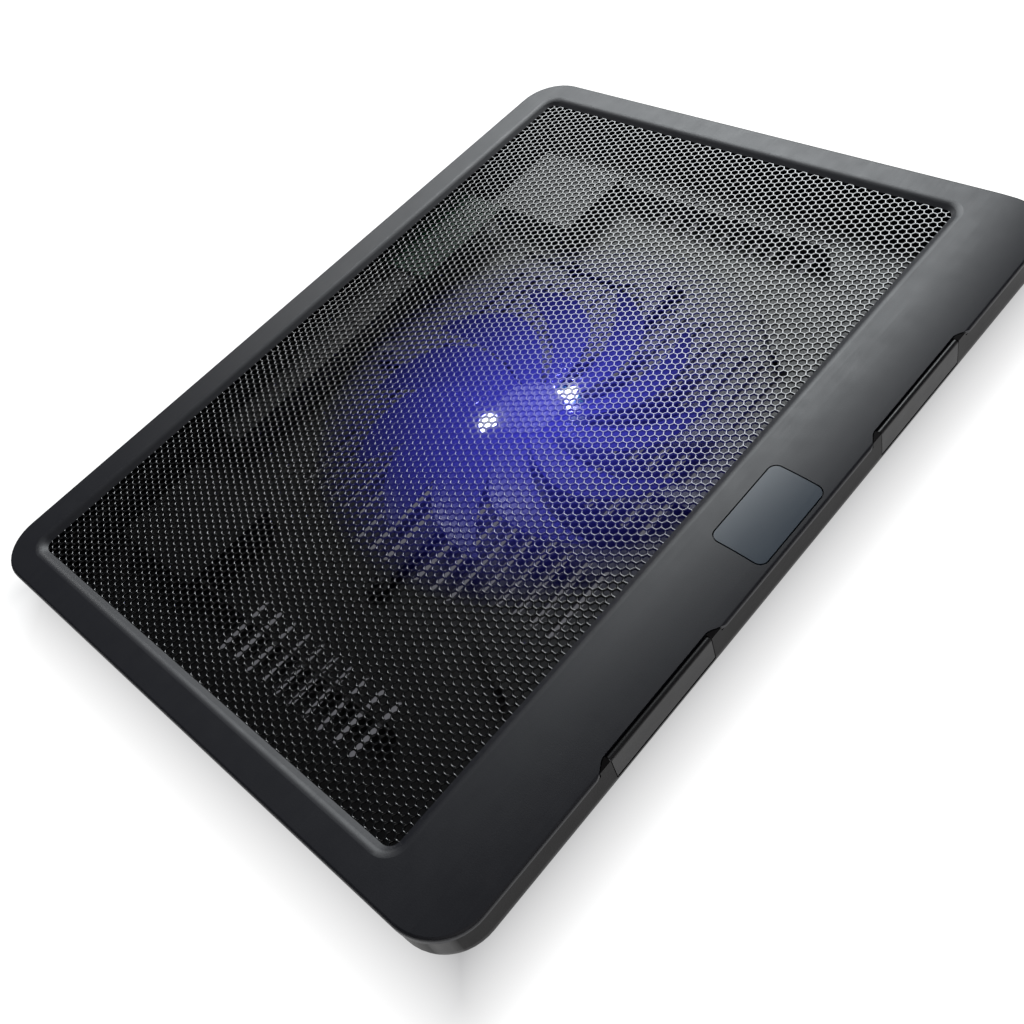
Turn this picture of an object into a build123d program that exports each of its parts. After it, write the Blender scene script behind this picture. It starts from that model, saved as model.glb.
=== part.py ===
from build123d import *
from math import cos, radians, sin, sqrt
import os

# Laptop cooling pad: a flat tray with a perforated top sheet over one large fan.
# Millimetres. Origin on the surface it stands on, below the centre of its plan.
# +X runs along the long side, +Y from the user's edge (front) to the rear, +Z up.

# ---------------------------------------------------------------- driving dimensions
# Whole pad
pad_width = 344.0
pad_depth = 261.0
pad_height = 24.0
corner_radius = 18.5
foot_height = 3.0           # how far the rubber feet hold the shell off the surface

# Top cover
cover_wall = 1.8
cover_edge_round = 1.2
front_roll = 27.0           # depth of the front border that rolls down
front_drop = 2.7            # how far the front edge ends below the crown
parting_height = 19.8       # lower edge of the cover's skirt
opening_width = 314.0
opening_depth = 210.5
opening_shift = 9.75        # the opening lies this far behind the pad's centre
opening_radius = 4.0
bevel_width = 3.0           # sloped frame from the crown down to the sheet
bevel_round = 5.0

# Perforated sheet under the opening
sheet_thickness = 0.6
sheet_lap = 4.0             # how far it reaches under the cover on each side

# Blank name plate let into the front border
badge_width = 35.8
badge_depth = 20.0
badge_radius = 3.0
badge_thickness = 1.0
badge_gap = 0.5
badge_front_margin = 2.5

# Bottom shell
shell_inset = 0.4
shell_wall = 2.0
floor_thickness = 2.0
underside_round = 8.0
parting_gap = 0.4
lip_thickness = 1.2
lip_rise = 0.9
lip_clearance = 0.2
lip_root = 2.4              # how far the lip is joined to the wall below the shell's edge

# Case screws and the bosses and pillars that they join
screw_shank_radius = 1.45
screw_head_radius = 2.7
screw_head_height = 2.0
screw_fit = 0.02
screw_length = 9.0
boss_radius = 4.0
boss_height = 6.0           # above the floor
boss_seat = 3.5             # seat of the screw's head above the floor
pillar_radius = 3.0
side_screw_y = 8.0
corner_screw_margin = 22.0  # from the pad's side
front_screw_margin = 14.5
rear_screw_margin = 7.1
head_clearance = 0.3
shank_clearance = 0.25
small_shank_clearance = 0.2
hole_spare = 0.5            # blind hole beyond the screw's end
recess_share = 0.35         # driver recess as a share of the head's radius

# Flip-up laptop stops in the front wall
stop_centre_x = 72.5
notch_length = 62.0         # along the cover's front edge
notch_depth = 2.9
notch_slope = 5.0           # run of the notch's slanting ends
notch_flank = 3.0
notch_round = 5.0
stop_ear = 1.5              # narrowest part of the ears that hold the stop's pin
stop_ear_gap = 0.3
stop_ear_drop = 0.2         # ears below the cover's surface
stop_side_gap = 0.3
stop_thickness = 2.2
stop_length = 10.0          # hinge axis to free end
stop_axis_rise = 0.5        # hinge axis above the cover's lower edge
stop_pocket_gap = 0.45
stop_backing = 2.0
stop_pin_radius = 0.6
stop_pin_hold = 2.0         # length of pin held at each end
stop_end_wall = 1.0
stop_tip_round = 0.9

# Fold-out rear legs and the wells that take them
leg_centre_x = 112.0
leg_width = 36.0
leg_length = 36.0           # hinge axis to the end of the moulding
leg_thickness = 9.0
leg_barrel_radius = 3.5
leg_wall = 2.0
leg_axis_margin = 37.6      # hinge axis to the pad's rear
leg_edge_round = 1.5
leg_flush_gap = 0.4         # folded leg above the underside
leg_side_gap = 0.8
leg_end_gap = 1.1
leg_roof_gap = 1.4
leg_tip_thickness = 2.5
leg_tip_round = 1.25
leg_rib_drop = 1.0
leg_grip_radius = 5.0
leg_grip_width = 16.0
leg_grip_depth = 2.0
leg_grip_margin = 2.0
leg_pin_radius = 1.5
well_wall = 1.6
pin_hold_fit = 0.02
pin_running_fit = 0.05

# Stowage channel for a loose lead, open on the underside
channel_length = 144.0
channel_margin = 36.0       # front side of the channel to the pad's rear
channel_depth = 12.0
channel_step_length = 50.0
channel_step_depth = 5.5
channel_roof = 15.2         # height of the roof's outer face

# Fan
fan_y = -8.3
blade_count = 11
blade_tip_radius = 70.0
blade_root_radius = 13.4
blade_stations = (17.0, 24.0, 33.0, 43.0, 53.0, 61.0, 66.5)
blade_reference_radius = 20.0
blade_thickness = 1.3
blade_mid_height = 15.0
blade_tip_angle = 239.0
blade_sweep = 20.0          # lag of the leading edge at the reference radius
blade_span_angle = 27.0
blade_tip_span = 2.0
blade_taper_power = 3
blade_pitch_root = 26.0
blade_pitch_loss = 8.0
hub_radius = 14.0
hub_top = 17.4
hub_top_thickness = 1.0
hub_round = 0.8
hub_skirt_gap = 0.1         # the hub's lower edge above the yoke's
yoke_radius = 12.6
yoke_wall = 0.8
yoke_boss_wall = 1.4
yoke_boss_gap = 0.3
rotor_bottom = 9.8
magnet_wall = 1.4
magnet_height = 5.0
magnet_inset = 0.2
air_gap = 0.6
pole_count = 4
stator_thickness = 3.6
stator_bottom = 10.4
stator_ring_radius = 5.0
stator_arm_width = 3.0
stator_shoe = 1.3
stator_slit = 2.4
stator_slit_depth = 6.0
coil_width = 6.6
coil_length = 2.6
coil_height = 5.0
coil_gap = 0.1
coil_round = 0.8
tube_radius = 3.2
sleeve_radius = 2.2
tube_top = 14.8
shaft_radius = 1.25
shaft_running_fit = 0.03
clip_radius = 1.9
clip_thickness = 0.4
clip_groove_depth = 0.35
thrust_gap = 0.2
chamber_depth = 0.8         # bearing chamber below the base disc's top
base_disc_radius = 22.0
base_disc_thickness = 1.5
base_standoff = 1.5         # fan base above the floor
arm_count = 4
arm_width = 7.0
arm_thickness = 2.0
arm_reach = 88.0
ear_radius = 5.0
fan_boss_radius = 4.5
fan_screw_shank = 1.2
fan_screw_head = 2.6
fan_screw_head_height = 1.5
fan_screw_bite = 2.6        # depth of thread below the boss's top
circuit_radius = 21.0
circuit_clearance = 0.5
circuit_thickness = 1.2
led_orbit = 17.9
led_left_angle = 125.6
led_right_angle = -9.9
led_radius = 1.5
led_height = 2.8
led_flange_height = 0.5
led_flange_width = 0.3

# Air slots in the floor
slot_width = 3.6
slot_pitch = 8.5
slot_rows = 17
wide_slot_rows = 7
slot_inner_x = 37.0
slot_outer_x = 70.0
slot_wide_outer_x = 79.0
centre_slot_length = 40.0
side_slot_rows = 10
side_slot_pitch = 8.4
side_slot_inner_x = 117.0
side_slot_outer_x = 142.0
side_slot_y = -11.5

# Stiffening ribs on the floor
rib_thickness = 1.6
rib_height = 9.7
rib_x = 128.0
rib_front_y = -58.0
rib_rear_y = 48.0
brace_length = 28.0
brace_height = 7.0
left_brace_x = -89.5
left_brace_y = -67.0
left_brace_angle = 62.0
right_brace_x = 81.0
right_brace_y = -61.0
right_brace_angle = 45.0

# USB board with its two sockets
board_centre_x = 64.0
board_width = 54.0
board_depth = 36.0
board_rear_margin = 4.5
board_thickness = 1.2
board_post_radius = 2.6
board_post_spread = 23.8
board_post_margin = 5.0     # posts to the board's rear edge
board_screw_shank = 1.0
board_screw_head = 2.0
board_screw_head_height = 1.2
board_screw_length = 6.0
socket_spread = 14.0
socket_width = 13.2
socket_height = 5.7
socket_length = 14.0
socket_skin = 0.3
socket_window_gap = 0.2
tongue_width = 11.0
tongue_thickness = 1.9
tongue_length = 8.8
tongue_block = 4.0
contact_count = 4
contact_pitch = 2.3
contact_width = 1.0
contact_thickness = 0.2
contact_margin = 1.0

# Lead from the fan to the board
lead_radius = 0.8
lead_bend = 6.0
lead_column_x = 80.0
lead_end_x = 66.0
lead_turn = 12.0            # length of the diagonal run at each corner of its route
lead_gap = 0.1
lead_peg_margin = 50.0      # pegs to the board's front edge
lead_peg_thickness = 1.2
lead_peg_length = 5.0
lead_peg_height = 4.0

# Rubber feet
foot_side_margin = 52.0     # foot's middle to the pad's side
foot_end_margin = 18.5      # foot's middle to the pad's front or rear
foot_length = 26.0
foot_width = 10.0
foot_end_radius = 4.9
foot_recess = 0.8
foot_round = 0.8

# Construction
over = 1.0                  # how far a cutting shape runs past what it cuts
hair = 0.01                 # tolerance when picking edges by place

# ---------------------------------------------------------------- derived places
front_y = -pad_depth / 2
rear_y = pad_depth / 2
sheet_top = pad_height - cover_wall
floor_bottom = foot_height
floor_top = floor_bottom + floor_thickness
shell_top = parting_height - parting_gap
roll_y = front_y + front_roll
roll_radius = (front_roll**2 + front_drop**2) / (2 * front_drop)
wall_outer = shell_inset
wall_inner = shell_inset + shell_wall
side_screw_x = (opening_width / 2 + sheet_lap + pad_width / 2 - wall_inner) / 2
corner_screw_x = pad_width / 2 - corner_screw_margin
screw_points = [
    (side * x, y)
    for side in (-1, 1)
    for x, y in (
        (side_screw_x, side_screw_y),
        (corner_screw_x, front_y + front_screw_margin),
        (corner_screw_x, rear_y - rear_screw_margin),
    )
]
base_bottom = floor_top + base_standoff
disc_top = base_bottom + base_disc_thickness
arm_top = base_bottom + arm_thickness
chamber_bottom = disc_top - chamber_depth
clip_bottom = disc_top - clip_thickness
hub_ceiling = hub_top - hub_top_thickness
stator_radius = yoke_radius - yoke_wall - magnet_wall - air_gap
circuit_top = disc_top + circuit_thickness
board_top = channel_roof + board_thickness
board_rear_y = rear_y - board_rear_margin
board_front_y = board_rear_y - board_depth
board_post_y = board_rear_y - board_post_margin
socket_face_y = rear_y - wall_outer
socket_back_y = socket_face_y - socket_length
tongue_start_y = socket_back_y + socket_skin
tongue_bottom = channel_roof - socket_height / 2
foot_x = pad_width / 2 - foot_side_margin
foot_y = pad_depth / 2 - foot_end_margin
channel_front_y = rear_y - channel_margin
stop_axis_y = front_y + wall_outer + stop_thickness / 2
stop_axis_z = parting_height + stop_axis_rise
stop_width = notch_length - 2 * (notch_slope + stop_ear)
leg_axis_y = rear_y - leg_axis_margin
leg_axis_z = floor_bottom + leg_flush_gap + leg_barrel_radius
leg_bottom = floor_bottom + leg_flush_gap
leg_front_y = leg_axis_y - leg_length - leg_tip_thickness
well_half_width = leg_width / 2 + leg_side_gap
well_front_y = leg_front_y - leg_end_gap
well_rear_y = leg_axis_y + leg_barrel_radius + leg_end_gap
well_roof = leg_bottom + leg_thickness + leg_roof_gap


# ---------------------------------------------------------------- shape helpers
def block(x0, x1, y0, y1, z0, z1):
    """Box between two corners."""
    return Pos((x0 + x1) / 2, (y0 + y1) / 2, (z0 + z1) / 2) * Box(x1 - x0, y1 - y0, z1 - z0)


def rod(x, y, z0, z1, radius):
    """Upright cylinder."""
    return Pos(x, y, (z0 + z1) / 2) * Cylinder(radius, z1 - z0)


def tube(x, y, z0, z1, outer, inner):
    """Upright tube."""
    return rod(x, y, z0, z1, outer) - rod(x, y, z0, z1, inner)


def cross_rod(x0, x1, y, z, radius):
    """Cylinder along X."""
    return Pos((x0 + x1) / 2, y, z) * Rot(0, 90, 0) * Cylinder(radius, x1 - x0)


def slab(width, depth, radius, z0, z1, x=0.0, y=0.0):
    """Upright prism with a rounded rectangular plan."""
    return extrude(Pos(x, y, z0) * RectangleRounded(width, depth, radius), z1 - z0)


def pad_slab(inset, z0, z1):
    """The pad's own plan, drawn in by inset."""
    return slab(pad_width - 2 * inset, pad_depth - 2 * inset, corner_radius - inset, z0, z1)


def crown(y):
    """Height of the cover's outer surface at depth y."""
    if y >= roll_y:
        return pad_height
    return pad_height - roll_radius + sqrt(roll_radius**2 - (roll_y - y) ** 2)


def crowned_block(inset, drop, z0):
    """The pad's plan, drawn in by inset, up to the cover's surface lowered by drop."""
    beyond = 5.0
    before, behind = front_y - beyond, rear_y + beyond
    halfway = (before + roll_y) / 2
    outline = Polyline(
        (roll_y, pad_height - drop),
        (behind, pad_height - drop),
        (behind, z0),
        (before, z0),
        (before, crown(before) - drop),
    ) + ThreePointArc(
        (before, crown(before) - drop), (halfway, crown(halfway) - drop), (roll_y, pad_height - drop)
    )
    bar = extrude(Plane.YZ * make_face(outline), pad_width, both=True)
    return bar & pad_slab(inset, z0, pad_height)


# ---------------------------------------------------------------- top cover and what it holds
def make_top_cover():
    outer = crowned_block(0, 0, parting_height)
    rim = [
        edge
        for edge in outer.edges()
        if edge.bounding_box().min.Z > parting_height + hair and abs(edge.center().Y - roll_y) > hair
    ]
    cover = fillet(rim, cover_edge_round)
    cover -= crowned_block(cover_wall, cover_wall, parting_height - over)
    cover -= opening_cut()
    cover = fillet(bevel_crest(cover), bevel_round)
    for x, y in screw_points:
        cover += rod(x, y, floor_top + boss_height, crown(y) - cover_wall / 2, pillar_radius)
        hole_top = floor_top + boss_seat + screw_length + hole_spare
        cover -= rod(x, y, floor_top + boss_height - over, hole_top, screw_shank_radius + screw_fit)
    for side in (-1, 1):
        cover -= notch_prism(side)
    return cover - badge_prism(badge_gap, badge_thickness)


def notch_prism(side):
    """Notch in the cover's front edge, with slanting ends and rounded corners."""
    half = notch_length / 2
    back_y = front_y + notch_depth
    plan = make_face(
        Polyline(
            (-half - notch_flank, front_y - over),
            (-half - notch_flank, front_y),
            (-half, front_y),
            (-half + notch_slope, back_y),
            (half - notch_slope, back_y),
            (half, front_y),
            (half + notch_flank, front_y),
            (half + notch_flank, front_y - over),
            close=True,
        )
    )
    corners = [v for v in plan.vertices() if abs(v.X) < half + hair and v.Y > front_y - hair]
    return Pos(side * stop_centre_x, 0, shell_top - over) * extrude(fillet(corners, notch_round), pad_height)


def opening_cut():
    """The sheet's opening with its sloped frame."""
    spread = 2 * bevel_width * (1 + over / cover_wall)
    low = Pos(0, opening_shift, sheet_top) * RectangleRounded(opening_width, opening_depth, opening_radius)
    high = Pos(0, opening_shift, pad_height + over) * RectangleRounded(
        opening_width + spread, opening_depth + spread, opening_radius + spread / 2
    )
    slope = loft([low.face(), high.face()], ruled=True)
    return slope + slab(
        opening_width, opening_depth, opening_radius, sheet_top - over, sheet_top, 0, opening_shift
    )


def bevel_crest(cover):
    """Edges where the sloped frame meets the crown."""
    half_width = opening_width / 2 + bevel_width + hair
    half_depth = opening_depth / 2 + bevel_width + hair
    crest = []
    for edge in cover.edges():
        box = edge.bounding_box()
        level = box.min.Z > pad_height - hair
        inside = max(-box.min.X, box.max.X) < half_width
        inside = inside and max(opening_shift - box.min.Y, box.max.Y - opening_shift) < half_depth
        if level and inside:
            crest.append(edge)
    return crest


def badge_prism(gap, depth):
    """The name plate's outline, widened by gap, from the cover's surface down by depth."""
    centre_y = front_y + badge_front_margin + badge_depth / 2
    prism = slab(
        badge_width + 2 * gap,
        badge_depth + 2 * gap,
        badge_radius + gap,
        parting_height,
        pad_height,
        0,
        centre_y,
    )
    return (prism & crowned_block(0, 0, parting_height)) - crowned_block(0, depth, parting_height)


def make_mesh_panel():
    return slab(
        opening_width + 2 * sheet_lap,
        opening_depth + 2 * sheet_lap,
        opening_radius,
        sheet_top - sheet_thickness,
        sheet_top,
        0,
        opening_shift,
    )


# ---------------------------------------------------------------- bottom shell
def round_below(solid, radius):
    """Round the edges of a prism's lower face."""
    return fillet(solid.faces().sort_by(Axis.Z)[0].edges(), radius)


def leg_well(side):
    """Outer block and inner pocket of one leg well."""
    centre = side * leg_centre_x
    outer = block(
        centre - well_half_width - well_wall,
        centre + well_half_width + well_wall,
        well_front_y - well_wall,
        well_rear_y + well_wall,
        floor_bottom,
        well_roof + well_wall,
    )
    pocket = block(
        centre - well_half_width, centre + well_half_width, well_front_y, well_rear_y, 0, well_roof
    )
    pin_hole = cross_rod(
        centre - well_half_width - well_wall,
        centre + well_half_width + well_wall,
        leg_axis_y,
        leg_axis_z,
        leg_pin_radius + pin_hold_fit,
    )
    return outer, pocket + pin_hole


def channel_volume(grow, z0, z1):
    """Plan of the stowage channel, grown on every side."""
    rear = channel_front_y + channel_depth
    main = block(
        -channel_length / 2 - grow, channel_length / 2 + grow, channel_front_y - grow, rear + grow, z0, z1
    )
    step = block(
        -channel_step_length / 2 - grow,
        channel_step_length / 2 + grow,
        rear,
        rear + channel_step_depth + grow,
        z0,
        z1,
    )
    return main + step


def slot_row(x0, x1, y):
    """Plan of one round-ended air slot along X."""
    return Pos((x0 + x1) / 2, y) * SlotOverall(x1 - x0, slot_width)


def air_slots():
    """Every air slot in the floor, as one cutting solid."""
    plan = []
    for row in range(slot_rows):
        step = row - (slot_rows - 1) / 2
        y = fan_y + step * slot_pitch
        outer_x = slot_wide_outer_x if abs(step) <= wide_slot_rows // 2 else slot_outer_x
        clear_of_arms = abs(y - fan_y) > ear_radius
        for side in (-1, 1):
            if clear_of_arms:
                ends = sorted((side * slot_inner_x, side * outer_x))
                plan.append(slot_row(*ends, y))
        if abs(y - fan_y) > base_disc_radius + slot_width:
            plan.append(slot_row(-centre_slot_length / 2, centre_slot_length / 2, y))
    for row in range(side_slot_rows):
        y = side_slot_y + (row - (side_slot_rows - 1) / 2) * side_slot_pitch
        for side in (-1, 1):
            ends = sorted((side * side_slot_inner_x, side * side_slot_outer_x))
            plan.append(slot_row(*ends, y))
    return extrude(Pos(0, 0, floor_bottom - over) * Sketch(children=plan), floor_thickness + 2 * over)


def floor_ribs():
    """Stiffening ribs that stand on the floor."""
    ribs = []
    for side in (-1, 1):
        x = side * rib_x
        ribs.append(
            block(
                x - rib_thickness / 2,
                x + rib_thickness / 2,
                rib_front_y,
                rib_rear_y,
                floor_bottom,
                floor_top + rib_height,
            )
        )
    brace = Box(brace_length, rib_thickness, brace_height + floor_thickness / 2)
    middle = floor_top + (brace_height - floor_thickness / 2) / 2
    ribs.append(Pos(left_brace_x, left_brace_y, middle) * Rot(0, 0, left_brace_angle) * brace)
    ribs.append(Pos(right_brace_x, right_brace_y, middle) * Rot(0, 0, right_brace_angle) * brace)
    return ribs


def stop_blocks():
    """Thickened wall behind each laptop stop, and the pocket that the stop folds into."""
    hold = stop_width / 2 + stop_side_gap + stop_pin_hold + stop_end_wall
    inner_y = stop_axis_y + stop_thickness / 2 + stop_pocket_gap
    solids, cuts = [], []
    for side in (-1, 1):
        x = side * stop_centre_x
        rear = inner_y + stop_backing
        solids.append(block(x - hold, x + hold, front_y + wall_outer, rear, floor_bottom, shell_top))
        reach = stop_width / 2 + stop_side_gap
        bottom = stop_axis_z - stop_length - stop_side_gap
        cuts.append(block(x - reach, x + reach, front_y - over, inner_y, bottom, pad_height))
        pin_reach = reach + stop_pin_hold
        cuts.append(
            cross_rod(x - pin_reach, x + pin_reach, stop_axis_y, stop_axis_z, stop_pin_radius + pin_hold_fit)
        )
    return solids, cuts


def stop_ears():
    """Fill of both notches up to the cover's surface, before the stops' pockets are cut out of it."""
    fill = crowned_block(wall_outer, stop_ear_drop, shell_top - over)
    ears = []
    for side in (-1, 1):
        notch = notch_prism(side).faces().sort_by(Axis.Z)[0]
        ears.append(fill & extrude(offset(notch, -stop_ear_gap), pad_height, dir=(0, 0, 1)))
    return ears


def locating_lip():
    """Inner lip that centres the cover, along the sides and the rear."""
    outer = cover_wall + lip_clearance
    bottom = shell_top - lip_root
    top = parting_height + lip_rise
    ring = pad_slab(outer, bottom, top) - pad_slab(outer + lip_thickness, bottom, top)
    return ring - block(-pad_width, pad_width, front_y - over, roll_y, 0, pad_height)


def make_bottom_shell():
    hull = round_below(pad_slab(wall_outer, floor_bottom, shell_top), underside_round)
    hollow = round_below(pad_slab(wall_inner, floor_top, shell_top + over), underside_round - shell_wall)
    inside = [rod(x, y, floor_bottom, floor_top + boss_height, boss_radius) for x, y in screw_points]
    inside += [rod(x, y, floor_bottom, base_bottom, fan_boss_radius) for x, y in arm_ends()]
    inside += [rod(x, board_post_y, floor_bottom, channel_roof, board_post_radius) for x in board_post_xs()]
    inside += floor_ribs() + lead_pegs()
    cuts = []
    for side in (-1, 1):
        outer, pocket = leg_well(side)
        inside.append(outer)
        cuts.append(pocket)
        cuts.append(socket_window(side))
    inside.append(channel_volume(well_wall, floor_bottom, channel_roof))
    cuts.append(channel_volume(0, 0, channel_roof - well_wall))
    pads, pockets = stop_blocks()
    inside += pads
    cuts += pockets
    for x, y in screw_points:
        cuts.append(rod(x, y, 0, floor_top + boss_seat, screw_head_radius + head_clearance))
        cuts.append(rod(x, y, 0, floor_top + boss_height + over, screw_shank_radius + shank_clearance))
    for x, y in arm_ends():
        hole_bottom = base_bottom - fan_screw_bite - hole_spare
        cuts.append(rod(x, y, hole_bottom, base_bottom + over, fan_screw_shank + screw_fit))
    for x in board_post_xs():
        hole_bottom = board_top - board_screw_length - hole_spare
        cuts.append(rod(x, board_post_y, hole_bottom, channel_roof + over, board_screw_shank + screw_fit))
    for x, y in foot_points():
        cuts.append(foot_prism(x, y, 0, floor_bottom + foot_recess))
    shell = (hull - hollow) + (Part(children=[]) + inside & hull)
    return (shell + stop_ears() + locating_lip()) - air_slots() - cuts


# ---------------------------------------------------------------- feet and case screws
def foot_points():
    return [(sx * foot_x, sy * foot_y) for sx in (-1, 1) for sy in (-1, 1)]


def foot_prism(x, y, z0, z1):
    return slab(foot_length, foot_width, foot_end_radius, z0, z1, x, y)


def make_foot(x, y):
    return round_below(foot_prism(x, y, 0, floor_bottom + foot_recess), foot_round)


def screw(x, y, seat, shank_radius, head_radius, head_height, length, up):
    """Pan-head screw whose head rests on seat; its shank points up or down."""
    direction = 1 if up else -1
    head = rod(x, y, *sorted((seat, seat - direction * head_height)), head_radius)
    shank = rod(x, y, *sorted((seat, seat + direction * length)), shank_radius)
    slot_end = seat - direction * head_height
    recess_end = slot_end + direction * head_height / 2
    recess = rod(x, y, *sorted((slot_end, recess_end)), head_radius * recess_share)
    return head + shank - recess


def make_case_screws():
    return Compound(
        children=[
            screw(
                x,
                y,
                floor_top + boss_seat,
                screw_shank_radius,
                screw_head_radius,
                screw_head_height,
                screw_length,
                True,
            )
            for x, y in screw_points
        ]
    )


# ---------------------------------------------------------------- laptop stops
def make_stop(side):
    x = side * stop_centre_x
    half = stop_width / 2
    barrel = cross_rod(x - half, x + half, stop_axis_y, stop_axis_z, stop_thickness / 2)
    plate = block(
        x - half,
        x + half,
        stop_axis_y - stop_thickness / 2,
        stop_axis_y + stop_thickness / 2,
        stop_axis_z - stop_length,
        stop_axis_z,
    )
    plate = fillet(plate.faces().sort_by(Axis.Z)[0].edges().filter_by(Axis.X), stop_tip_round)
    bore = cross_rod(x - half, x + half, stop_axis_y, stop_axis_z, stop_pin_radius + pin_running_fit)
    return barrel + plate - bore


def make_stop_pin(side):
    x = side * stop_centre_x
    reach = stop_width / 2 + stop_side_gap + stop_pin_hold
    return cross_rod(x - reach, x + reach, stop_axis_y, stop_axis_z, stop_pin_radius)


# ---------------------------------------------------------------- fold-out legs
def make_leg(side):
    x = side * leg_centre_x
    half = leg_width / 2
    end_y = leg_axis_y - leg_length
    body = block(x - half, x + half, end_y, leg_axis_y, leg_bottom, leg_bottom + leg_thickness)
    body = fillet(body.edges().filter_by(Axis.X).sort_by(Axis.Z)[-2:], leg_edge_round)
    body += cross_rod(x - half, x + half, leg_axis_y, leg_axis_z, leg_barrel_radius)
    body -= block(
        x - half + leg_wall,
        x + half - leg_wall,
        end_y + leg_wall,
        leg_axis_y - leg_barrel_radius - leg_wall,
        leg_bottom + leg_wall,
        leg_bottom + leg_thickness + over,
    )
    rib = block(
        x - leg_wall / 2,
        x + leg_wall / 2,
        end_y + leg_wall / 2,
        leg_axis_y - leg_barrel_radius - leg_wall / 2,
        leg_bottom + leg_wall / 2,
        leg_bottom + leg_thickness - leg_rib_drop,
    )
    grip_z = leg_bottom - leg_grip_radius + leg_grip_depth / 2
    grip_y = end_y + leg_grip_radius + leg_grip_margin
    grip = cross_rod(x - leg_grip_width / 2, x + leg_grip_width / 2, grip_y, grip_z, leg_grip_radius)
    bore = cross_rod(x - half, x + half, leg_axis_y, leg_axis_z, leg_pin_radius + pin_running_fit)
    return body + rib - grip - bore


def make_leg_tip(side):
    x = side * leg_centre_x
    end_y = leg_axis_y - leg_length
    tip = block(
        x - leg_width / 2,
        x + leg_width / 2,
        leg_front_y,
        end_y,
        leg_bottom,
        leg_bottom + leg_thickness,
    )
    return fillet(tip.faces().sort_by(Axis.Y)[0].edges(), leg_tip_round)


def make_leg_pin(side):
    x = side * leg_centre_x
    reach = well_half_width + well_wall
    return cross_rod(x - reach, x + reach, leg_axis_y, leg_axis_z, leg_pin_radius)


# ---------------------------------------------------------------- fan
def arm_ends():
    """Screw places of the fan base's arms."""
    angles = [radians(360 * k / arm_count) for k in range(arm_count)]
    return [(arm_reach * cos(angle), fan_y + arm_reach * sin(angle)) for angle in angles]


def make_fan_base():
    base = rod(0, fan_y, base_bottom, disc_top, base_disc_radius)
    base += tube(0, fan_y, base_bottom, tube_top, tube_radius, sleeve_radius)
    arm = block(0, arm_reach, -arm_width / 2, arm_width / 2, base_bottom, arm_top)
    arm += rod(arm_reach, 0, base_bottom, arm_top, ear_radius)
    arm -= rod(0, 0, base_bottom - over, arm_top + over, circuit_radius + circuit_clearance)
    for k in range(arm_count):
        base += Pos(0, fan_y, 0) * Rot(0, 0, 360 * k / arm_count) * arm
    for x, y in arm_ends():
        base -= rod(x, y, 0, arm_top + over, fan_screw_shank + small_shank_clearance)
    return base - rod(0, fan_y, chamber_bottom, disc_top + over, sleeve_radius)


def make_fan_screws():
    return Compound(
        children=[
            screw(
                x,
                y,
                arm_top,
                fan_screw_shank,
                fan_screw_head,
                fan_screw_head_height,
                arm_thickness + fan_screw_bite,
                False,
            )
            for x, y in arm_ends()
        ]
    )


def make_bearing_sleeve():
    bore = shaft_radius + shaft_running_fit
    return tube(0, fan_y, disc_top + thrust_gap, tube_top, sleeve_radius, bore)


def make_circuit_board():
    return tube(0, fan_y, disc_top, circuit_top, circuit_radius, tube_radius)


def make_stator_core():
    top = stator_bottom + stator_thickness
    middle = (stator_bottom + top) / 2
    core = tube(0, fan_y, stator_bottom, top, stator_ring_radius, tube_radius)
    shoe = tube(0, fan_y, stator_bottom, top, stator_radius, stator_radius - stator_shoe)
    arm_start = (tube_radius + stator_ring_radius) / 2
    arm_end = stator_radius - stator_shoe / 2
    arm = Pos((arm_start + arm_end) / 2, 0, 0) * Box(arm_end - arm_start, stator_arm_width, stator_thickness)
    slit = Pos(stator_radius, 0, 0) * Box(stator_slit_depth, stator_slit, stator_thickness + over)
    for k in range(pole_count):
        turn = 360 * k / pole_count
        shoe -= Pos(0, fan_y, middle) * Rot(0, 0, turn + 180 / pole_count) * slit
        core += Pos(0, fan_y, middle) * Rot(0, 0, turn) * arm
    return core + shoe


def make_stator_coils():
    middle = stator_bottom + stator_thickness / 2
    orbit = stator_ring_radius + coil_gap + coil_length / 2
    coil = Box(coil_length, coil_width, coil_height)
    coil = fillet(coil.edges().filter_by(Axis.X), coil_round)
    coil -= Box(coil_length + over, stator_arm_width, stator_thickness)
    turns = [360 * k / pole_count for k in range(pole_count)]
    return Compound(
        children=[Pos(0, fan_y, middle) * Rot(0, 0, turn) * Pos(orbit, 0, 0) * coil for turn in turns]
    )


def make_led(angle):
    x = led_orbit * cos(radians(angle))
    y = fan_y + led_orbit * sin(radians(angle))
    body = rod(x, y, circuit_top, circuit_top + led_height - led_radius, led_radius)
    dome = Pos(x, y, circuit_top + led_height - led_radius) * Sphere(led_radius)
    flange = rod(x, y, circuit_top, circuit_top + led_flange_height, led_radius + led_flange_width)
    return body + (dome & rod(x, y, circuit_top, circuit_top + led_height, led_radius)) + flange


def make_fan_shaft():
    shaft = rod(0, fan_y, chamber_bottom + thrust_gap, hub_ceiling, shaft_radius)
    groove = tube(0, fan_y, clip_bottom, disc_top, shaft_radius + over, shaft_radius - clip_groove_depth)
    return shaft - groove


def make_shaft_clip():
    return tube(0, fan_y, clip_bottom, disc_top, clip_radius, shaft_radius - clip_groove_depth)


def make_rotor_yoke():
    cup = rod(0, fan_y, rotor_bottom, hub_ceiling, yoke_radius)
    cup -= rod(0, fan_y, rotor_bottom - over, hub_ceiling - yoke_wall, yoke_radius - yoke_wall)
    cup += rod(0, fan_y, tube_top + yoke_boss_gap, hub_ceiling, shaft_radius + yoke_boss_wall)
    return cup - rod(0, fan_y, rotor_bottom, hub_ceiling + over, shaft_radius)


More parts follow.
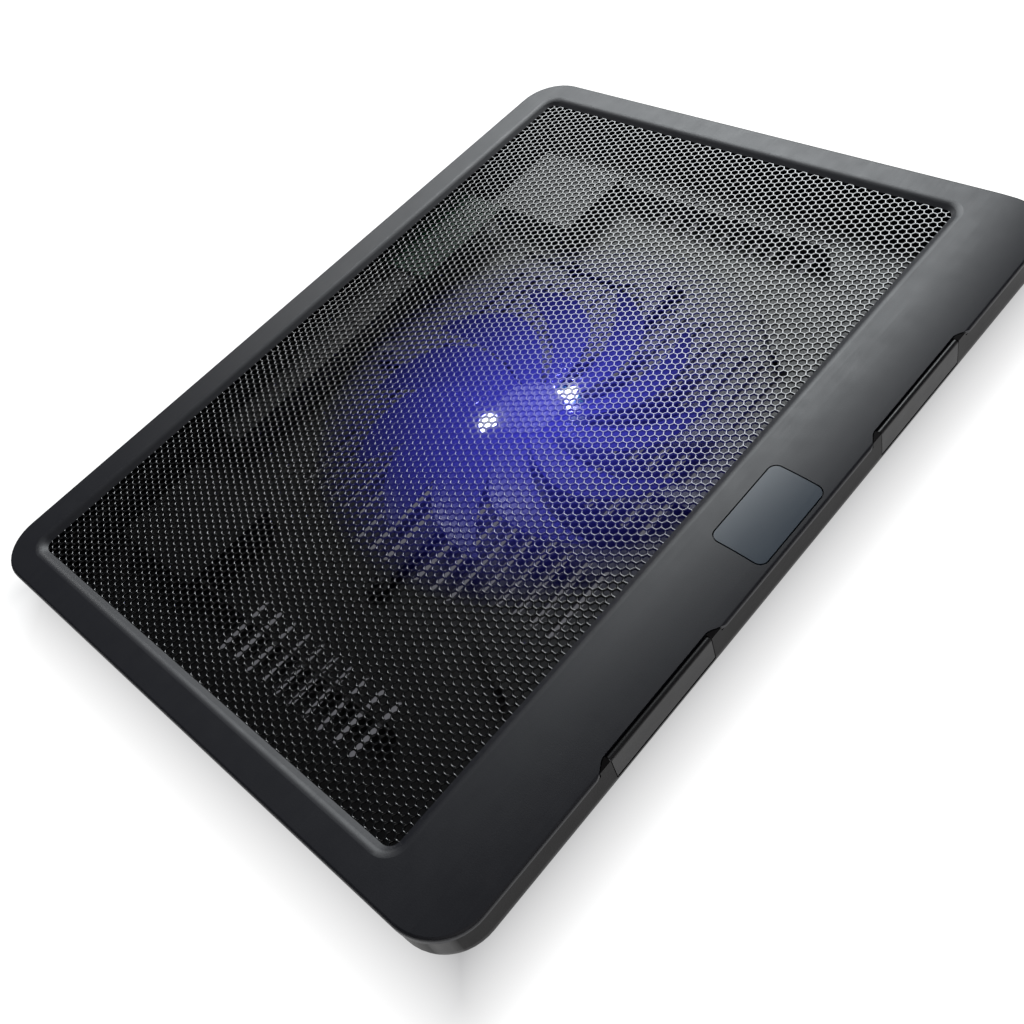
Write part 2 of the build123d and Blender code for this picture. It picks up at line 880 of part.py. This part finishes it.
def make_magnet_ring():
    outer = yoke_radius - yoke_wall
    bottom = rotor_bottom + magnet_inset
    return tube(0, fan_y, bottom, bottom + magnet_height, outer, outer - magnet_wall)


def blade_section(radius):
    """Cross-section of one blade at a radius, as a face that looks outwards."""
    share = (radius - blade_reference_radius) / (blade_tip_radius - blade_reference_radius)
    span = blade_tip_span + blade_span_angle * (1 - max(share, 0) ** blade_taper_power)
    angle = radians(blade_tip_angle - blade_sweep * (1 - share) - span / 2)
    pitch = radians(blade_pitch_root - blade_pitch_loss * max(share, 0))
    outward = Vector(cos(angle), sin(angle), 0)
    along = Vector(-sin(angle) * cos(pitch), cos(angle) * cos(pitch), -sin(pitch))
    origin = Vector(radius * cos(angle), fan_y + radius * sin(angle), blade_mid_height)
    chord = radius * radians(span)
    return (Plane(origin=origin, x_dir=along, z_dir=outward) * Rectangle(chord, blade_thickness)).face()


def make_impeller():
    hub = rod(0, fan_y, rotor_bottom + hub_skirt_gap, hub_top, hub_radius)
    hub = fillet(hub.faces().sort_by(Axis.Z)[-1].edges(), hub_round)
    stations = [blade_root_radius, *blade_stations, blade_tip_radius]
    blade = loft([blade_section(radius) for radius in stations])
    centre = Axis((0, fan_y, 0), (0, 0, 1))
    blades = [blade.rotate(centre, 360 * k / blade_count) for k in range(blade_count)]
    return hub + blades - rod(0, fan_y, 0, hub_ceiling, yoke_radius)


# ---------------------------------------------------------------- USB board, sockets and lead
def board_post_xs():
    return [board_centre_x - board_post_spread, board_centre_x + board_post_spread]


def make_usb_board():
    half = board_width / 2
    board = block(
        board_centre_x - half, board_centre_x + half, board_front_y, board_rear_y, channel_roof, board_top
    )
    for x in board_post_xs():
        hole_radius = board_screw_shank + small_shank_clearance
        board -= rod(x, board_post_y, channel_roof - over, board_top + over, hole_radius)
    return board


def make_board_screws():
    return Compound(
        children=[
            screw(
                x,
                board_post_y,
                board_top,
                board_screw_shank,
                board_screw_head,
                board_screw_head_height,
                board_screw_length,
                False,
            )
            for x in board_post_xs()
        ]
    )


def socket_block(side, grow, y0, y1):
    """Envelope of one socket, hanging under the board."""
    x = board_centre_x + side * socket_spread
    return block(
        x - socket_width / 2 - grow,
        x + socket_width / 2 + grow,
        y0,
        y1,
        channel_roof - socket_height - grow,
        channel_roof + grow,
    )


def socket_window(side):
    return socket_block(side, socket_window_gap, rear_y - wall_inner - over, rear_y + over)


def make_socket_shell(side):
    outside = socket_block(side, 0, socket_back_y, socket_face_y)
    return outside - socket_block(side, -socket_skin, socket_back_y + socket_skin, socket_face_y + over)


def make_socket_tongue(side):
    x = board_centre_x + side * socket_spread
    plug = socket_block(side, -socket_skin, tongue_start_y, tongue_start_y + tongue_block)
    tongue = block(
        x - tongue_width / 2,
        x + tongue_width / 2,
        tongue_start_y,
        tongue_start_y + tongue_block + tongue_length,
        tongue_bottom,
        tongue_bottom + tongue_thickness,
    )
    return plug + tongue


def make_socket_contacts():
    """Contact strips on the lower face of both tongues."""
    strips = []
    for side in (-1, 1):
        x = board_centre_x + side * socket_spread
        start = tongue_start_y + tongue_block
        end = start + tongue_length - contact_margin
        for k in range(contact_count):
            left = x + (k - (contact_count - 1) / 2) * contact_pitch - contact_width / 2
            low = tongue_bottom - contact_thickness
            strips.append(block(left, left + contact_width, start, end, low, tongue_bottom))
    return Compound(children=strips)


def lead_route():
    """Corners of the lead: along a fan arm, over the floor, up to the board's front edge."""
    arm_z = arm_top + lead_radius
    floor_z = floor_top + lead_radius + lead_gap
    board_z = channel_roof + board_thickness / 2
    return [
        (circuit_radius, fan_y, arm_z),
        (lead_column_x - lead_turn, fan_y, arm_z),
        (lead_column_x, fan_y + lead_turn, arm_z),
        (lead_column_x, fan_y + 2 * lead_turn, floor_z),
        (lead_column_x, board_front_y - 2 * lead_turn, floor_z),
        (lead_end_x, board_front_y - lead_turn, board_z),
        (lead_end_x, board_front_y, board_z),
    ]


def lead_pegs():
    """Two pegs on the floor that hold the lead between them."""
    y = board_front_y - lead_peg_margin
    top = floor_top + lead_peg_height
    pegs = []
    for side in (-1, 1):
        x = lead_column_x + side * (lead_radius + lead_gap + lead_peg_thickness / 2)
        peg = Box(lead_peg_thickness, lead_peg_length, top - floor_bottom)
        pegs.append(Pos(x, y, (floor_bottom + top) / 2) * peg)
    return pegs


def make_fan_lead():
    points = lead_route()
    path = FilletPolyline(*points, radius=[lead_bend] * (len(points) - 2))
    start = Plane(origin=path @ 0, z_dir=path % 0)
    lead = sweep(start * Circle(lead_radius), path=path)
    expected = Circle(lead_radius).area * path.length
    print(f"fan lead: length {path.length:.1f}, volume {lead.volume:.1f}, expected {expected:.1f}")
    return lead


# ---------------------------------------------------------------- every node
nodes = {
    "top_cover": make_top_cover(),
    "mesh_panel": make_mesh_panel(),
    "badge_plate": badge_prism(0, badge_thickness),
    "bottom_shell": make_bottom_shell(),
    "case_screws": make_case_screws(),
    "fan_base": make_fan_base(),
    "fan_screws": make_fan_screws(),
    "bearing_sleeve": make_bearing_sleeve(),
    "fan_circuit_board": make_circuit_board(),
    "stator_core": make_stator_core(),
    "stator_coils": make_stator_coils(),
    "led_left": make_led(led_left_angle),
    "led_right": make_led(led_right_angle),
    "fan_shaft": make_fan_shaft(),
    "shaft_clip": make_shaft_clip(),
    "rotor_yoke": make_rotor_yoke(),
    "magnet_ring": make_magnet_ring(),
    "impeller": make_impeller(),
    "usb_board": make_usb_board(),
    "board_screws": make_board_screws(),
    "usb_contacts": make_socket_contacts(),
    "fan_lead": make_fan_lead(),
}
for name, side in (("left", -1), ("right", 1)):
    nodes[f"stop_{name}"] = make_stop(side)
    nodes[f"stop_pin_{name}"] = make_stop_pin(side)
    nodes[f"leg_{name}"] = make_leg(side)
    nodes[f"leg_tip_{name}"] = make_leg_tip(side)
    nodes[f"leg_pin_{name}"] = make_leg_pin(side)
    nodes[f"usb_shell_{name}"] = make_socket_shell(side)
    nodes[f"usb_tongue_{name}"] = make_socket_tongue(side)
    nodes[f"foot_front_{name}"] = make_foot(side * foot_x, -foot_y)
    nodes[f"foot_rear_{name}"] = make_foot(side * foot_x, foot_y)

os.makedirs("parts", exist_ok=True)
for name, solid in nodes.items():
    export_step(solid, f"parts/{name}.step")
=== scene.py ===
from math import cos, radians, sin, sqrt

import bmesh
import bpy
import numpy as np
from mathutils import Matrix, Vector


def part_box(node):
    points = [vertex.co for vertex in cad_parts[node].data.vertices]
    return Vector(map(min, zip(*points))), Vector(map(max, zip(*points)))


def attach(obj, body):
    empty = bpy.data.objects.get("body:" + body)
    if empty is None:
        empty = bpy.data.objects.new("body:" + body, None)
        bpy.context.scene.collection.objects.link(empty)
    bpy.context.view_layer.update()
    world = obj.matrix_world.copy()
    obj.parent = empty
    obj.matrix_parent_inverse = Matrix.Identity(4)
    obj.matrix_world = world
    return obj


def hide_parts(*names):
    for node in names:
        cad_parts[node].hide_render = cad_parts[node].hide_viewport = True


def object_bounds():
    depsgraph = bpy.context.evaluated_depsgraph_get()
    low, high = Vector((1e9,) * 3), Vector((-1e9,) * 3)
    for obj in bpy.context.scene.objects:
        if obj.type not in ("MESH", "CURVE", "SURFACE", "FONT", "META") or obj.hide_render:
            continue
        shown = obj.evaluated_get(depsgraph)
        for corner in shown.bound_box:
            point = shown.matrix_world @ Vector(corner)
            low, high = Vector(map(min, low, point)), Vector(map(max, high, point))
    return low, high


# Looks of a laptop cooling pad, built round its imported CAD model. Metres, in the model's own frame:
# +X along the long side, +Y from the user's edge to the rear, +Z up.

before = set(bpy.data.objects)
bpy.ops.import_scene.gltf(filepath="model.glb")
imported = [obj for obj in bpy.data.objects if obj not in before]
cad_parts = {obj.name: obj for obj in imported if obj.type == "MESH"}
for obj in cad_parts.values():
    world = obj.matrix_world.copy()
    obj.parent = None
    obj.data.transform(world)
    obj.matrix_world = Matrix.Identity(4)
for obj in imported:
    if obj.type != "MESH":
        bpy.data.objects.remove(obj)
cad_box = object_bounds()

mm = 0.001
sheet_low, sheet_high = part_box("mesh_panel")
sheet_top = sheet_high.z
sheet_middle = (sheet_low + sheet_high) / 2
fan_centre = (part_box("fan_circuit_board")[0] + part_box("fan_circuit_board")[1]) / 2


# ---------------------------------------------------------------- camera, floor and light
# Each light: place, what it points at, width and height, power in watts, colour
room_lights = {
    "window": ((1.12, 0.80, 1.13), (0.05, 0.0, 0.0), (0.95, 0.75), 26.0, (0.94, 0.98, 1.0)),
    "lamp": ((0.57, 1.33, 0.68), (-0.05, 0.0, 0.0), (0.16, 0.16), 1.5, (1.0, 1.0, 1.0)),
    "fill": ((-0.5, -1.2, 1.6), (0.0, 0.0, 0.0), (1.6, 1.2), 4.0, (1.0, 0.96, 0.95)),
}
room_tint = (0.9, 0.95, 1.0, 1.0)
room_strength = 0.055

floor_half = 3.0
shadow_start = -0.014       # how far outside the pad's plan the painted shadow is darkest
shadow_end = 0.018          # and where it is white
shadow_curve = 0.6
shadow_tint = (0.10, 0.10, 0.11)
white = (1.0, 1.0, 1.0)


def make_camera():
    """A hand-held view from the user's left, rolled strongly to the right."""
    eye = Vector((-0.1778, -0.2705, sheet_top + 0.2981))
    right = Vector((0.6526, -0.7134, -0.2553))
    up = Vector((0.6794, 0.4018, 0.6140))
    back = Vector((-0.3354, -0.5741, 0.7469))
    turn = Matrix((right, up, back)).transposed().to_4x4()
    data = bpy.data.cameras.new("camera")
    data.sensor_width = 36.0
    data.lens = 39.97
    data.clip_start = 0.01
    camera = bpy.data.objects.new("camera", data)
    camera.matrix_world = Matrix.Translation(eye) @ turn
    bpy.context.scene.collection.objects.link(camera)
    bpy.context.scene.camera = camera


def area_light(name, place, target, size, power, colour):
    data = bpy.data.lights.new(name, "AREA")
    data.shape = "RECTANGLE"
    data.size, data.size_y = size
    data.energy = power
    data.color = colour
    light = bpy.data.objects.new(name, data)
    light.location = place
    aim = Vector(target) - Vector(place)
    light.rotation_euler = aim.to_track_quat("-Z", "Y").to_euler()
    bpy.context.scene.collection.objects.link(light)


def make_lights():
    for name, values in room_lights.items():
        area_light(name, *values)
    world = bpy.data.worlds.new("room")
    world.use_nodes = True
    background = world.node_tree.nodes["Background"]
    background.inputs["Color"].default_value = room_tint
    background.inputs["Strength"].default_value = room_strength
    bpy.context.scene.world = world
    bpy.context.scene.view_settings.view_transform = "Standard"


def make_floor():
    """Pale paper that glows white, apart from a painted soft shadow round the pad."""
    corners = [(floor_half * x, floor_half * y, 0) for x, y in ((-1, -1), (1, -1), (1, 1), (-1, 1))]
    mesh = bpy.data.meshes.new("floor")
    mesh.from_pydata(corners, [], [(0, 1, 2, 3)])
    floor = bpy.data.objects.new("floor", mesh)
    bpy.context.scene.collection.objects.link(floor)
    shade = Shade("floor_paper")
    shade.colour(shade.blend(shade.noise(9.0, 3), (0.22, 0.22, 0.22), (0.25, 0.25, 0.25)))
    shade.set("Roughness", 0.7)
    shade.bump(shade.noise(700.0, 2), 0.02 * mm, 0.2)
    away = shade.ramp(distance_beyond_pad(shade), shadow_start, shadow_end)
    away = shade.maths("POWER", away, shadow_curve)
    shade.link(shade.blend(away, shadow_tint, white), shade.shader.inputs["Emission Color"])
    shade.set("Emission Strength", 1.0)
    floor.data.materials.append(shade.material)


def distance_beyond_pad(shade):
    """How far a point lies outside the pad's plan, in metres; negative within it."""
    parts = shade.node("ShaderNodeSeparateXYZ")
    shade.link(shade.place, parts.inputs["Vector"])
    beyond = []
    for axis, half in (("X", cad_box[1].x), ("Y", cad_box[1].y)):
        beyond.append(shade.maths("SUBTRACT", shade.maths("ABSOLUTE", parts.outputs[axis], 0.0), half))
    inside = shade.maths("MINIMUM", shade.maths("MAXIMUM", beyond[0], beyond[1]), 0.0)
    outside = shade.node("ShaderNodeCombineXYZ")
    for axis, value in zip("XY", beyond):
        shade.link(shade.maths("MAXIMUM", value, 0.0), outside.inputs[axis])
    length = shade.node("ShaderNodeVectorMath", operation="LENGTH")
    shade.link(outside.outputs["Vector"], length.inputs[0])
    return shade.maths("ADD", inside, length.outputs["Value"])


# ---------------------------------------------------------------- material helper
class Shade:
    """One procedural material round a Principled shader."""

    def __init__(self, name):
        self.material = bpy.data.materials.new(name)
        self.material.use_nodes = True
        self.tree = self.material.node_tree
        self.shader = self.tree.nodes["Principled BSDF"]
        self.place = self.tree.nodes.new("ShaderNodeTexCoord").outputs["Object"]

    def set(self, socket, value):
        self.shader.inputs[socket].default_value = value

    def link(self, output, socket):
        self.tree.links.new(output, socket)

    def node(self, kind, **values):
        made = self.tree.nodes.new(kind)
        for key, value in values.items():
            setattr(made, key, value)
        return made

    def stretched(self, scale):
        mapping = self.node("ShaderNodeMapping")
        mapping.inputs["Scale"].default_value = scale
        self.link(self.place, mapping.inputs["Vector"])
        return mapping.outputs["Vector"]

    def noise(self, scale, detail, place=None):
        made = self.node("ShaderNodeTexNoise")
        made.inputs["Scale"].default_value = scale
        made.inputs["Detail"].default_value = detail
        self.link(place or self.place, made.inputs["Vector"])
        return made.outputs["Fac"]

    def cells(self, scale):
        made = self.node("ShaderNodeTexVoronoi")
        made.inputs["Scale"].default_value = scale
        self.link(self.place, made.inputs["Vector"])
        return made.outputs["Distance"]

    def ramp(self, value, low, high):
        made = self.node("ShaderNodeMapRange")
        made.inputs["From Min"].default_value = low
        made.inputs["From Max"].default_value = high
        self.link(value, made.inputs["Value"])
        return made.outputs["Result"]

    def span(self, value, low, high):
        """Spreads a 0 to 1 value over low to high."""
        made = self.node("ShaderNodeMapRange")
        made.inputs["To Min"].default_value = low
        made.inputs["To Max"].default_value = high
        self.link(value, made.inputs["Value"])
        return made.outputs["Result"]

    def maths(self, operation, a, b):
        made = self.node("ShaderNodeMath", operation=operation)
        for socket, value in zip(made.inputs, (a, b)):
            if isinstance(value, (int, float)):
                socket.default_value = value
            else:
                self.link(value, socket)
        return made.outputs["Value"]

    def mixed(self, first, second, share):
        """One pattern with a share of another."""
        rest = self.maths("MULTIPLY", first, 1 - share)
        return self.maths("ADD", rest, self.maths("MULTIPLY", second, share))

    def blend(self, amount, first, second):
        made = self.node("ShaderNodeMix", data_type="RGBA")
        self.link(amount, made.inputs["Factor"])
        for name, value in (("A", first), ("B", second)):
            socket = [s for s in made.inputs if s.name == name and s.type == "RGBA"][0]
            if isinstance(value, tuple):
                socket.default_value = (*value, 1.0)
            else:
                self.link(value, socket)
        return [s for s in made.outputs if s.type == "RGBA"][0]

    def colour(self, output):
        self.link(output, self.shader.inputs["Base Color"])

    def roughness(self, output):
        self.link(output, self.shader.inputs["Roughness"])

    def bump(self, height, depth, strength):
        made = self.node("ShaderNodeBump")
        made.inputs["Strength"].default_value = strength
        made.inputs["Distance"].default_value = depth
        self.link(height, made.inputs["Height"])
        self.link(made.outputs["Normal"], self.shader.inputs["Normal"])


coarse_grain = 0.08 * mm
usual_grain = 0.04 * mm
fine_grain = 0.02 * mm
polish = 0.01 * mm


def moulded_plastic(name, dark, light, gloss, spread=0.08, grain=usual_grain):
    """Injection-moulded plastic with a fine spark-eroded grain, faint flow marks and rubbed streaks."""
    shade = Shade(name)
    flow = shade.noise(22.0, 3)
    fine = shade.noise(2600.0, 2)
    shade.colour(shade.blend(shade.mixed(flow, fine, 0.4), dark, light))
    streaks = shade.noise(1.0, 3, shade.stretched((45.0, 1300.0, 300.0)))
    wear = shade.mixed(shade.noise(140.0, 4), streaks, 0.4)
    shade.roughness(shade.span(wear, gloss - spread, gloss + spread))
    shade.bump(fine, grain, 0.5)
    return shade


# ---------------------------------------------------------------- materials
# The shell is glossy within its outer wall and satin outside: distances beyond the pad's plan
satin_start = -4.5 * mm
satin_end = -3.0 * mm


def make_materials():
    """Gives every CAD piece its material. A plastic has a darker and a lighter tone and a roughness."""
    cover = moulded_plastic("cover_plastic", (0.0085, 0.0086, 0.0130), (0.0125, 0.0128, 0.0185), 0.47)
    shell = moulded_plastic("shell_plastic", (0.0050, 0.0044, 0.0046), (0.0080, 0.0070, 0.0074), 0.36)
    badge = moulded_plastic("badge_plastic",
                            (0.040, 0.056, 0.078), (0.049, 0.068, 0.092), 0.36, 0.05, fine_grain)
    leg = moulded_plastic("leg_plastic", (0.0050, 0.0046, 0.0048), (0.0080, 0.0072, 0.0076), 0.40)
    base = moulded_plastic("fan_base_plastic", (0.0040, 0.0040, 0.0050), (0.0065, 0.0065, 0.0080), 0.34)
    # The stops' plastic is painted lighter than the shell's: painted light that makes up for the shade
    # the stops sit in within the notches.
    stop = moulded_plastic("stop_plastic", (0.013, 0.0125, 0.0135), (0.018, 0.0175, 0.0185), 0.38)
    stop.set("Specular IOR Level", 0.25)
    outside = shell.ramp(distance_beyond_pad(shell), satin_start, satin_end)
    shell.link(shell.span(outside, 0.50, 0.08), shell.shader.inputs["Specular IOR Level"])
    # The shell and the fan base get a painted blue glow round the fan, in place of the lamps' light.
    painted_lamp_glow(shell, 0.16, 0.085)
    painted_lamp_glow(base, 0.25, 0.085)
    rubber = moulded_plastic("foot_rubber",
                             (0.012, 0.012, 0.012), (0.020, 0.020, 0.020), 0.78, 0.06, coarse_grain)
    lead = moulded_plastic("lead_jacket",
                           (0.012, 0.012, 0.013), (0.020, 0.020, 0.021), 0.38, 0.05, fine_grain)
    magnet = moulded_plastic("magnet_ferrite", (0.020, 0.019, 0.018), (0.032, 0.030, 0.028), 0.62)
    tongue = moulded_plastic("socket_plastic",
                             (0.010, 0.016, 0.110), (0.014, 0.022, 0.150), 0.30, 0.05, polish)
    paint = {
        "top_cover": cover,
        "bottom_shell": shell,
        "badge_plate": badge,
        "stop_left": stop,
        "stop_right": stop,
        "leg_left": leg,
        "leg_right": leg,
        "fan_base": base,
        "fan_lead": lead,
        "magnet_ring": magnet,
        "usb_tongue_left": tongue,
        "usb_tongue_right": tongue,
    }
    for name in ("leg_tip", "foot_front", "foot_rear"):
        paint[name + "_left"] = rubber
        paint[name + "_right"] = rubber
    hinge_pins = ("stop_pin_left", "stop_pin_right", "leg_pin_left", "leg_pin_right")
    metals = {
        "pin_steel": (("fan_shaft", "shaft_clip"), (0.50, 0.50, 0.52), 0.28),
        "hinge_steel": (hinge_pins, (0.50, 0.50, 0.52), 0.30),
        "screw_steel": (("case_screws", "fan_screws", "board_screws"), (0.10, 0.10, 0.11), 0.35),
        "bearing_bronze": (("bearing_sleeve",), (0.55, 0.38, 0.16), 0.40),
        "stator_steel": (("stator_core",), (0.28, 0.28, 0.30), 0.45),
        "coil_copper": (("stator_coils",), (0.55, 0.20, 0.07), 0.32),
        "yoke_steel": (("rotor_yoke",), (0.40, 0.40, 0.42), 0.33),
        "socket_steel": (("usb_shell_left", "usb_shell_right"), (0.72, 0.71, 0.68), 0.22),
        "contact_gold": (("usb_contacts",), (0.85, 0.58, 0.22), 0.25),
    }
    for name, (pieces, tint, gloss) in metals.items():
        shade = drawn_metal(name, tint, gloss)
        for piece in pieces:
            paint[piece] = shade
    board = circuit_board()
    paint["usb_board"] = board
    paint["fan_circuit_board"] = board
    led = led_lens()
    paint["led_left"] = led
    paint["led_right"] = led
    paint["impeller"] = smoky_impeller()
    for name, shade in paint.items():
        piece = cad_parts[name]
        piece.data.materials.clear()
        piece.data.materials.append(shade.material)


def drawn_metal(name, tint, gloss):
    """Metal with fine drawing marks and slightly uneven polish."""
    shade = Shade(name)
    marks = shade.noise(900.0, 3, shade.stretched((0.15, 1.0, 1.0)))
    darker = tuple(0.75 * part for part in tint)
    shade.colour(shade.blend(marks, darker, tint))
    shade.set("Metallic", 1.0)
    shade.roughness(shade.span(marks, gloss - 0.06, gloss + 0.10))
    shade.bump(marks, 0.01 * mm, 0.4)
    return shade


def circuit_board():
    """Green solder mask over faint copper tracks, with a painted blue glow and white spots for the lamps'
    light.
    """
    shade = Shade("solder_mask")
    track = shade.ramp(shade.cells(260.0), 0.0, 0.6)
    shade.colour(shade.blend(track, (0.010, 0.090, 0.035), (0.006, 0.050, 0.022)))
    shade.roughness(shade.span(shade.noise(300.0, 2), 0.22, 0.36))
    painted_lamp_glow(shade, 0.30, 0.070, spot=2.2)
    shade.bump(track, 0.03 * mm, 0.5)
    return shade


def led_lens():
    """Clear epoxy that gives off blue-white light."""
    shade = Shade("led_lens")
    core = shade.ramp(shade.noise(1500.0, 1), 0.3, 0.7)
    shade.colour(shade.blend(core, (0.8, 0.85, 1.0), (0.95, 0.97, 1.0)))
    shade.set("Roughness", 0.15)
    shade.set("Emission Color", (0.55, 0.60, 1.0, 1.0))
    shade.set("Emission Strength", 30.0)
    return shade


# ---------------------------------------------------------------- painted glow of the two lamps
glow_blue = (0.085, 0.085, 1.0)
glow_white = (0.80, 0.84, 1.0)
spill_x = fan_centre.x + 2.0 * mm
spill_y = fan_centre.y - 7.0 * mm
spill_curve = 1.25
spot_reach = 4.6 * mm
spot_edge = 0.85            # share of the reach that is fully white
spot_lean_x = -0.54         # shift of a spot for each metre that its surface lies above the lamps
spot_lean_y = -0.90
halo_reach = 11.5 * mm


def line_distance(shade, x, y):
    """Distance from an upright line through a fixed place of the pad, in metres."""
    here = shade.node("ShaderNodeNewGeometry").outputs["Position"]
    offset = shade.node("ShaderNodeVectorMath", operation="SUBTRACT")
    offset.inputs[1].default_value = (x, y, 0.0)
    shade.link(here, offset.inputs[0])
    flat = shade.node("ShaderNodeVectorMath", operation="MULTIPLY")
    flat.inputs[1].default_value = (1.0, 1.0, 0.0)
    shade.link(offset.outputs["Vector"], flat.inputs[0])
    length = shade.node("ShaderNodeVectorMath", operation="LENGTH")
    shade.link(flat.outputs["Vector"], length.inputs[0])
    return length.outputs["Value"]


def painted_lamp_glow(shade, spill, spill_reach, spot=0.0, reach=spot_reach, edge=spot_edge, rise=0.0):
    """Painted glow in place of light from the two lamps: a wide blue spill, strongest just before the
    fan's axis, and white spots, given off as emission.

    A surface that lies above the lamps has its spots further to the front left, where a lamp seen from
    that side shows through it.
    """
    near = shade.ramp(line_distance(shade, spill_x, spill_y), spill_reach, 0.0)
    strength = shade.maths("MULTIPLY", shade.maths("POWER", near, spill_curve), spill)
    if not spot:
        shade.set("Emission Color", (*glow_blue, 1.0))
        shade.link(strength, shade.shader.inputs["Emission Strength"])
        return
    spots = []
    for name in ("led_left", "led_right"):
        low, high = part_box(name)
        middle = (low + high) / 2
        away = line_distance(shade, middle.x + spot_lean_x * rise, middle.y + spot_lean_y * rise)
        spots.append(shade.ramp(away, reach, edge * reach))
    bright = shade.maths("POWER", shade.maths("MAXIMUM", *spots), 2.0)
    strength = shade.maths("ADD", strength, shade.maths("MULTIPLY", bright, spot))
    shade.link(shade.blend(bright, glow_blue, glow_white), shade.shader.inputs["Emission Color"])
    shade.link(strength, shade.shader.inputs["Emission Strength"])


def smoky_impeller():
    """Smoke-tinted plastic with a painted blue glow and white spots in place of the light of the two
    lamps below it.
    """
    shade = Shade("fan_plastic")
    tone = shade.noise(60.0, 3)
    shade.colour(shade.blend(tone, (0.012, 0.012, 0.016), (0.018, 0.018, 0.024)))
    shade.roughness(shade.span(shade.noise(400.0, 3), 0.22, 0.34))
    painted_lamp_glow(shade, 0.55, 0.088, spot=2.2, rise=5.0 * mm)
    shade.bump(shade.noise(250.0, 2), 0.03 * mm, 0.3)
    return shade


# ---------------------------------------------------------------- perforated sheet
cell_pitch = 3.17 * mm
hole_across = 2.3 * mm
edge_round = 0.30 * mm
sheet_split = 55.0 * mm     # the sheet is made in three pieces, parted at this distance on each side


def honeycomb(name, low_x, high_x, shade):
    """The part of the perforated sheet whose cells have their centres between low_x and high_x.

    Each cell is a hexagonal ring: flat web, an edge rounded in two steps, and the hole's wall.
    """
    row_step = cell_pitch * sqrt(3) / 2
    margin = cell_pitch * 0.6
    rows = int((sheet_high.y - sheet_low.y - 2 * margin) / row_step) // 2
    columns = int((sheet_high.x - sheet_low.x) / cell_pitch) // 2 + 1
    corner = np.array([(cos(radians(30 + 60 * k)), sin(radians(30 + 60 * k))) for k in range(6)])
    top, bottom = sheet_high.z, sheet_low.z
    levels = (
        (cell_pitch, top),
        (hole_across + 2 * edge_round, top),
        (hole_across + 0.6 * edge_round, top - 0.3 * edge_round),
        (hole_across, top - edge_round),
        (hole_across, bottom),
        (cell_pitch, bottom),
    )
    points, faces = [], []
    for row in range(-rows, rows + 1):
        y = sheet_middle.y + row * row_step
        for column in range(-columns, columns + 1):
            x = (column + 0.5 * (row % 2)) * cell_pitch
            if not (low_x <= x < high_x) or abs(x) > sheet_high.x - margin:
                continue
            first = len(points)
            for across, z in levels:
                points.extend((x + px, y + py, z) for px, py in corner * across / sqrt(3))
            for level in range(len(levels) - 1):
                for k in range(6):
                    a = first + 6 * level + k
                    b = first + 6 * level + (k + 1) % 6
                    faces.append((a, b, b + 6, a + 6))
    mesh = bpy.data.meshes.new(name)
    mesh.from_pydata(points, [], faces)
    piece = bpy.data.objects.new(name, mesh)
    bpy.context.scene.collection.objects.link(piece)
    join_close_points(mesh, 0.02 * mm)
    mesh.shade_smooth()
    mesh.materials.append(shade.material)
    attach(piece, "pad")
    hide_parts("mesh_panel")


def join_close_points(mesh, distance):
    work = bmesh.new()
    work.from_mesh(mesh)
    bmesh.ops.remove_doubles(work, verts=work.verts, dist=distance)
    work.to_mesh(mesh)
    work.free()


def coated_steel():
    """Gloss black powder coat, with a painted blue glow and faint white halo round the fan in place of
    the lamps' light from below.
    """
    shade = Shade("mesh_steel")
    orange_peel = shade.noise(900.0, 2)
    shade.colour(shade.blend(orange_peel, (0.002, 0.002, 0.0025), (0.004, 0.004, 0.005)))
    inner = shade.ramp(line_distance(shade, fan_centre.x, fan_centre.y), 0.060, 0.010)
    shade.link(shade.span(inner, 0.75, 0.32), shade.shader.inputs["Specular IOR Level"])
    shade.roughness(shade.span(shade.noise(300.0, 2), 0.12, 0.19))
    painted_lamp_glow(shade, 0.42, 0.092, spot=0.14, reach=halo_reach, edge=0.0, rise=10.0 * mm)
    shade.bump(orange_peel, 0.01 * mm, 0.3)
    return shade


def make_sheet():
    shade = coated_steel()
    edges = [sheet_low.x, -sheet_split, sheet_split, sheet_high.x]
    for k, name in enumerate(("mesh_sheet_left", "mesh_sheet_middle", "mesh_sheet_right")):
        honeycomb(name, edges[k], edges[k + 1], shade)


def make_lamp_glow():
    """Blue light that the two lamps throw on the fan and the sheet."""
    for name in ("led_left", "led_right"):
        low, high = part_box(name)
        data = bpy.data.lights.new(name + "_light", "POINT")
        data.energy = 0.02
        data.color = (0.15, 0.15, 1.0)
        data.shadow_soft_size = 1.5 * mm
        light = bpy.data.objects.new(name + "_light", data)
        light.location = ((low.x + high.x) / 2, (low.y + high.y) / 2, high.z + 0.8 * mm)
        bpy.context.scene.collection.objects.link(light)


make_camera()
make_lights()
make_floor()
make_materials()
make_sheet()
make_lamp_glow()
